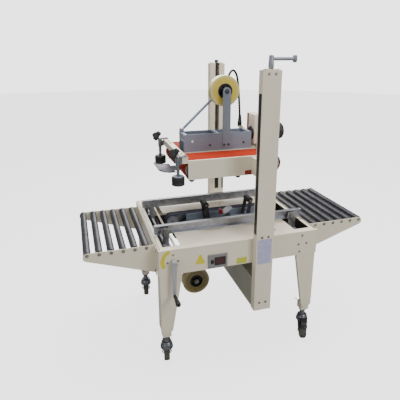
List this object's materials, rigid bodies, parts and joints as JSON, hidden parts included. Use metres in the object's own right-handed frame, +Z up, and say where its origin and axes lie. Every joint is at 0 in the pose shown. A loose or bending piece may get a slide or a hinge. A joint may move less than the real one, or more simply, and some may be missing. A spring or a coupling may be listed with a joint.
{
  "type": "carton sealing machine",
  "caption": "Floor-standing case sealer: belts carry a carton over roller tables and between an upper and a lower tape head; the head rides on columns and is set by cranks.",
  "frame": {"origin": "On the floor, below the middle of the machine's box.", "axes": "+X is the way the cartons travel, from infeed to outfeed. -Y is the operator's side, with both cranks and the switch. +Z is up."},
  "size_m": [1.5276, 0.8654, 1.545],
  "materials": {
    "cream_paint": "satin powder coat, ivory",
    "grey_paint": "satin grey paint",
    "motor_paint": "black satin paint",
    "roller_steel": "turned and brushed",
    "zinc_steel": "bright zinc plate",
    "dark_steel": "blackened",
    "black_plastic": "moulded",
    "switch_grey": "moulded",
    "switch_red": "moulded",
    "tyre_rubber": "worn rubber",
    "press_rubber": "moulded",
    "cable_jacket": "smooth",
    "red_belt": "matt friction belt",
    "dark_belt": "matt friction belt",
    "tape": "wound film with a satin face"
  },
  "bodies": {
    "bed": {"bed_casing": "cream_paint", "leg_front_left": "cream_paint", "leg_front_right": "cream_paint", "leg_rear_left": "cream_paint", "leg_rear_right": "cream_paint", "column_front": "cream_paint", "column_rear": "cream_paint", "foot_beam": "cream_paint", "infeed_table": "cream_paint", "outfeed_table": "cream_paint", "lower_tape_head": "grey_paint", "switch_plate": "switch_grey", "lower_belt_front": "dark_belt", "lower_belt_rear": "dark_belt"},
    "switch_rocker": {"switch_rocker": "switch_red"},
    "head": {"head_frame": "cream_paint", "infeed_crossbar": "cream_paint", "upper_tape_head": "grey_paint", "roll_arm": "grey_paint", "upper_motor": "motor_paint", "head_cable": "cable_jacket", "upper_belt_front": "red_belt", "upper_belt_rear": "red_belt"},
    "guide_front": {"guide_rail_front": "zinc_steel"},
    "guide_rear": {"guide_rail_rear": "zinc_steel"},
    "width_crank": {"width_crank": "roller_steel"},
    "width_grip": {"width_crank_grip": "black_plastic"},
    "height_crank": {"height_crank": "roller_steel"},
    "rear_screw": {"rear_height_screw": "dark_steel"},
    "press_front": {"press_front_bracket": "zinc_steel"},
    "press_rear": {"press_rear_bracket": "zinc_steel"},
    "press_roller_front": {"press_front_roller": "press_rubber"},
    "press_roller_rear": {"press_rear_roller": "press_rubber"},
    "upper_roll": {"upper_tape_roll": "tape"},
    "lower_roll": {"lower_tape_roll": "tape"},
    "lower_apply": {"lower_apply_arm": "dark_steel"},
    "lower_wipe": {"lower_wipe_arm": "dark_steel"},
    "upper_apply": {"upper_apply_arm": "dark_steel"},
    "upper_wipe": {"upper_wipe_arm": "dark_steel"},
    "brake": {"brake_pedal": "black_plastic"},
    "infeed_roller_1": {"infeed_roller_1": "roller_steel"},
    "infeed_roller_2": {"infeed_roller_2": "roller_steel"},
    "infeed_roller_3": {"infeed_roller_3": "roller_steel"},
    "infeed_roller_4": {"infeed_roller_4": "roller_steel"},
    "infeed_roller_5": {"infeed_roller_5": "roller_steel"},
    "infeed_roller_6": {"infeed_roller_6": "roller_steel"},
    "outfeed_roller_1": {"outfeed_roller_1": "roller_steel"},
    "outfeed_roller_2": {"outfeed_roller_2": "roller_steel"},
    "outfeed_roller_3": {"outfeed_roller_3": "roller_steel"},
    "outfeed_roller_4": {"outfeed_roller_4": "roller_steel"},
    "outfeed_roller_5": {"outfeed_roller_5": "roller_steel"},
    "outfeed_roller_6": {"outfeed_roller_6": "roller_steel"},
    "fork_front_left": {"caster_fork_front_left": "zinc_steel"},
    "wheel_front_left": {"caster_wheel_front_left": "tyre_rubber"},
    "fork_front_right": {"caster_fork_front_right": "zinc_steel"},
    "wheel_front_right": {"caster_wheel_front_right": "tyre_rubber"},
    "fork_rear_left": {"caster_fork_rear_left": "zinc_steel"},
    "wheel_rear_left": {"caster_wheel_rear_left": "tyre_rubber"},
    "fork_rear_right": {"caster_fork_rear_right": "zinc_steel"},
    "wheel_rear_right": {"caster_wheel_rear_right": "tyre_rubber"}
  },
  "joints": [
    {"name": "head_lift", "type": "slide", "parent": "bed", "child": "head", "axis": [0, 0, 1], "range_m": [-0.165, 0.21]},
    {"name": "height_crank_turn", "type": "hinge", "parent": "bed", "child": "height_crank", "pos_m": [0.102, -0.34525, 1.528], "axis": [0, 0, 1], "continuous": true},
    {"name": "rear_screw_turn", "type": "hinge", "parent": "bed", "child": "rear_screw", "pos_m": [0.102, 0.41175, 1.4845], "axis": [0, 0, 1], "continuous": true},
    {"name": "guide_front_slide", "type": "slide", "parent": "bed", "child": "guide_front", "axis": [0, 1, 0], "range_m": [-0.092, 0.118]},
    {"name": "guide_rear_slide", "type": "slide", "parent": "bed", "child": "guide_rear", "axis": [0, -1, 0], "range_m": [-0.092, 0.118]},
    {"name": "width_crank_turn", "type": "hinge", "parent": "bed", "child": "width_crank", "pos_m": [-0.354, -0.34775, 0.6], "axis": [0, 1, 0], "continuous": true},
    {"name": "width_grip_turn", "type": "hinge", "parent": "width_crank", "child": "width_grip", "pos_m": [-0.357, -0.35335, 0.428], "axis": [0, 1, 0], "continuous": true},
    {"name": "infeed_roller_1_spin", "type": "hinge", "parent": "bed", "child": "infeed_roller_1", "pos_m": [-0.743, 0.03325, 0.643], "axis": [0, 1, 0], "continuous": true},
    {"name": "infeed_roller_2_spin", "type": "hinge", "parent": "bed", "child": "infeed_roller_2", "pos_m": [-0.6874, 0.03325, 0.643], "axis": [0, 1, 0], "continuous": true},
    {"name": "infeed_roller_3_spin", "type": "hinge", "parent": "bed", "child": "infeed_roller_3", "pos_m": [-0.6318, 0.03325, 0.643], "axis": [0, 1, 0], "continuous": true},
    {"name": "infeed_roller_4_spin", "type": "hinge", "parent": "bed", "child": "infeed_roller_4", "pos_m": [-0.5762, 0.03325, 0.643], "axis": [0, 1, 0], "continuous": true},
    {"name": "infeed_roller_5_spin", "type": "hinge", "parent": "bed", "child": "infeed_roller_5", "pos_m": [-0.5206, 0.03325, 0.643], "axis": [0, 1, 0], "continuous": true},
    {"name": "infeed_roller_6_spin", "type": "hinge", "parent": "bed", "child": "infeed_roller_6", "pos_m": [-0.465, 0.03325, 0.643], "axis": [0, 1, 0], "continuous": true},
    {"name": "outfeed_roller_1_spin", "type": "hinge", "parent": "bed", "child": "outfeed_roller_1", "pos_m": [0.743, 0.03325, 0.643], "axis": [0, 1, 0], "continuous": true},
    {"name": "outfeed_roller_2_spin", "type": "hinge", "parent": "bed", "child": "outfeed_roller_2", "pos_m": [0.6874, 0.03325, 0.643], "axis": [0, 1, 0], "continuous": true},
    {"name": "outfeed_roller_3_spin", "type": "hinge", "parent": "bed", "child": "outfeed_roller_3", "pos_m": [0.6318, 0.03325, 0.643], "axis": [0, 1, 0], "continuous": true},
    {"name": "outfeed_roller_4_spin", "type": "hinge", "parent": "bed", "child": "outfeed_roller_4", "pos_m": [0.5762, 0.03325, 0.643], "axis": [0, 1, 0], "continuous": true},
    {"name": "outfeed_roller_5_spin", "type": "hinge", "parent": "bed", "child": "outfeed_roller_5", "pos_m": [0.5206, 0.03325, 0.643], "axis": [0, 1, 0], "continuous": true},
    {"name": "outfeed_roller_6_spin", "type": "hinge", "parent": "bed", "child": "outfeed_roller_6", "pos_m": [0.465, 0.03325, 0.643], "axis": [0, 1, 0], "continuous": true},
    {"name": "swivel_front_left", "type": "hinge", "parent": "bed", "child": "fork_front_left", "pos_m": [-0.391, -0.28825, 0.1715], "axis": [0, 0, 1], "continuous": true},
    {"name": "wheel_spin_front_left", "type": "hinge", "parent": "fork_front_left", "child": "wheel_front_left", "pos_m": [-0.38579, -0.25871, 0.046], "axis": [-0.9848, 0.1736, 0], "continuous": true},
    {"name": "swivel_front_right", "type": "hinge", "parent": "bed", "child": "fork_front_right", "pos_m": [0.391, -0.28825, 0.1715], "axis": [0, 0, 1], "continuous": true},
    {"name": "wheel_spin_front_right", "type": "hinge", "parent": "fork_front_right", "child": "wheel_front_right", "pos_m": [0.38223, -0.31694, 0.046], "axis": [0.9563, -0.2924, 0], "continuous": true},
    {"name": "swivel_rear_left", "type": "hinge", "parent": "bed", "child": "fork_rear_left", "pos_m": [-0.391, 0.35475, 0.1715], "axis": [0, 0, 1], "continuous": true},
    {"name": "wheel_spin_rear_left", "type": "hinge", "parent": "fork_rear_left", "child": "wheel_rear_left", "pos_m": [-0.38579, 0.38429, 0.046], "axis": [-0.9848, 0.1736, 0], "continuous": true},
    {"name": "swivel_rear_right", "type": "hinge", "parent": "bed", "child": "fork_rear_right", "pos_m": [0.391, 0.35475, 0.1715], "axis": [0, 0, 1], "continuous": true},
    {"name": "wheel_spin_rear_right", "type": "hinge", "parent": "fork_rear_right", "child": "wheel_rear_right", "pos_m": [0.40126, 0.38294, 0.046], "axis": [-0.9397, 0.342, 0], "continuous": true},
    {"name": "brake_press", "type": "hinge", "parent": "fork_front_right", "child": "brake", "pos_m": [0.37901, -0.32746, 0.112], "axis": [0.9563, -0.2924, 0], "range_deg": [0, 26]},
    {"name": "press_front_slide", "type": "slide", "parent": "head", "child": "press_front", "axis": [0, 1, 0], "range_m": [-0.005, 0.1]},
    {"name": "press_roller_front_spin", "type": "hinge", "parent": "press_front", "child": "press_roller_front", "pos_m": [-0.289, -0.18275, 0.93], "axis": [0, 0, 1], "continuous": true},
    {"name": "press_rear_slide", "type": "slide", "parent": "head", "child": "press_rear", "axis": [0, -1, 0], "range_m": [-0.005, 0.1]},
    {"name": "press_roller_rear_spin", "type": "hinge", "parent": "press_rear", "child": "press_roller_rear", "pos_m": [-0.289, 0.24925, 0.93], "axis": [0, 0, 1], "continuous": true},
    {"name": "upper_roll_spin", "type": "hinge", "parent": "head", "child": "upper_roll", "pos_m": [0.0166, 0.03325, 1.356], "axis": [0, 1, 0], "continuous": true},
    {"name": "lower_roll_spin", "type": "hinge", "parent": "bed", "child": "lower_roll", "pos_m": [-0.146, 0.03325, 0.266], "axis": [0, 1, 0], "continuous": true},
    {"name": "lower_apply_swing", "type": "hinge", "parent": "bed", "child": "lower_apply", "pos_m": [-0.069, 0.03325, 0.6], "axis": [0, 1, 0], "range_deg": [0, 80], "stiffness_Nm_per_rad": 1.5, "springref_deg": -28.65},
    {"name": "lower_wipe_swing", "type": "hinge", "parent": "bed", "child": "lower_wipe", "pos_m": [0.152, 0.03325, 0.6], "axis": [0, 1, 0], "range_deg": [0, 65], "stiffness_Nm_per_rad": 1.5, "springref_deg": -28.65},
    {"name": "upper_apply_swing", "type": "hinge", "parent": "head", "child": "upper_apply", "pos_m": [-0.147, 0.03325, 1.03], "axis": [0, -1, 0], "range_deg": [0, 80], "stiffness_Nm_per_rad": 1.5, "springref_deg": -28.65},
    {"name": "upper_wipe_swing", "type": "hinge", "parent": "head", "child": "upper_wipe", "pos_m": [0.074, 0.03325, 1.03], "axis": [0, -1, 0], "range_deg": [0, 65], "stiffness_Nm_per_rad": 1.5, "springref_deg": -28.65},
    {"name": "switch_rock", "type": "hinge", "parent": "bed", "child": "switch_rocker", "pos_m": [-0.12, -0.32775, 0.569], "axis": [0, 0, 1], "range_deg": [-7, 7]}
  ],
  "couplings": [
    {"joint": "height_crank_turn", "follows": "head_lift", "rad_per_m": 628.32},
    {"joint": "rear_screw_turn", "follows": "head_lift", "rad_per_m": 628.32},
    {"joint": "guide_rear_slide", "follows": "guide_front_slide", "ratio": 1},
    {"joint": "width_crank_turn", "follows": "guide_front_slide", "rad_per_m": 628.32}
  ]
}
